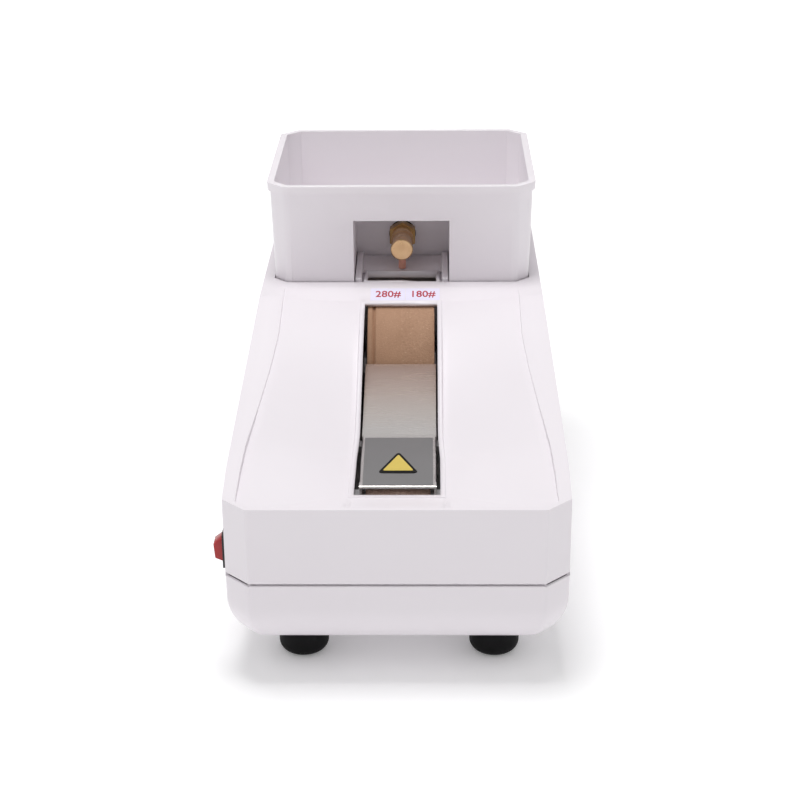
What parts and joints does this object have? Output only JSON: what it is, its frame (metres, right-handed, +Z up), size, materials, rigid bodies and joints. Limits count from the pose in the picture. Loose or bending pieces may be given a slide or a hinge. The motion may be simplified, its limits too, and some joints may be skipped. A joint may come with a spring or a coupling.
{
  "type": "wet grinding sharpener",
  "caption": "Hand-fed wet edge grinder: white casing with dished ramp, slotted two-grit wheel, steel rest plate and lift-off drip tank.",
  "frame": {"origin": "on the table, under the middle of the object's box", "axes": "+Z up, -Y towards the operator at the front, +X to the operator's right"},
  "size_m": [0.203, 0.385, 0.23],
  "materials": {
    "white_plastic": "satin, faint moulded texture",
    "housing_plastic": "satin",
    "black_rubber": "dull",
    "black_plastic": "satin",
    "red_plastic": "gloss",
    "brass": "turned",
    "dark_brass": "dull, oxidised",
    "copper": "polished",
    "steel": "plain",
    "polished_steel": "polished sheet",
    "fine_grit": "fine sandy",
    "coarse_grit": "coarse sandy",
    "aluminium": "machined",
    "cast_iron": "painted",
    "motor_paint": "satin",
    "grey_film": "smooth film",
    "yellow_film": "printed film",
    "label_film": "printed film",
    "sponge_foam": "open foam",
    "capacitor_case": "satin",
    "cream_plastic": "satin"
  },
  "bodies": {
    "casing": {"base_tray": "white_plastic", "top_shell": "white_plastic", "rubber_feet": "black_rubber", "foot_screws": "steel", "shell_screws": "steel", "drip_tray": "white_plastic", "spindle_seals": "black_rubber", "bearings": "steel", "bearing_blocks": "cast_iron", "block_screws": "steel", "wheel_housing": "housing_plastic", "drain_spout": "black_plastic", "drain_nut": "black_plastic", "sponge": "sponge_foam", "grit_label": "label_film", "drive_belt": "black_rubber", "motor_body": "motor_paint", "motor_end_caps": "aluminium", "motor_bracket": "cast_iron", "motor_screws": "steel", "capacitor": "capacitor_case", "capacitor_clip": "steel", "terminal_block": "cream_plastic", "power_inlet": "black_plastic", "inlet_blades": "steel", "inlet_screws": "steel", "switch_housing": "black_plastic"},
    "tank": {"water_tank": "white_plastic", "tap_nut": "dark_brass", "tap_body": "brass", "tap_outlet": "copper", "tap_washers": "black_rubber", "tap_lock_nut": "brass"},
    "tap": {"tap_knob": "brass", "tap_stem": "brass"},
    "wheel": {"wheel_fine": "fine_grit", "wheel_coarse": "coarse_grit", "wheel_core": "aluminium", "wheel_flanges": "steel", "wheel_nut": "steel", "spindle": "steel", "spindle_pulley": "aluminium"},
    "rotor": {"motor_shaft": "steel", "motor_pulley": "aluminium"},
    "guard": {"guard_plate": "polished_steel", "plate_film": "grey_film", "caution_patch": "yellow_film"},
    "rocker": {"switch_rocker": "red_plastic"}
  },
  "joints": [
    {"name": "wheel_spin", "type": "hinge", "parent": "casing", "child": "wheel", "pos_m": [0.0035, 0.0293, 0.1079], "axis": [1, 0, 0], "continuous": true},
    {"name": "motor_spin", "type": "hinge", "parent": "casing", "child": "rotor", "pos_m": [0.0035, 0.1305, 0.084], "axis": [1, 0, 0], "continuous": true},
    {"name": "tank_lift", "type": "slide", "parent": "casing", "child": "tank", "axis": [0, 0, 1], "range_m": [0, 0.08]},
    {"name": "tap_turn", "type": "hinge", "parent": "tank", "child": "tap", "pos_m": [0.0035, 0.0575, 0.1815], "axis": [0, 1, 0], "range_deg": [0, 270]},
    {"name": "switch_rock", "type": "hinge", "parent": "casing", "child": "rocker", "pos_m": [-0.0915, -0.1665, 0.0765], "axis": [0, 1, 0], "range_deg": [0, 10]},
    {"name": "guard_lift", "type": "slide", "parent": "casing", "child": "guard", "axis": [0, 0, 1], "range_m": [0, 0.05]}
  ],
  "couplings": [
    {"joint": "motor_spin", "follows": "wheel_spin", "ratio": 1.4286}
  ]
}
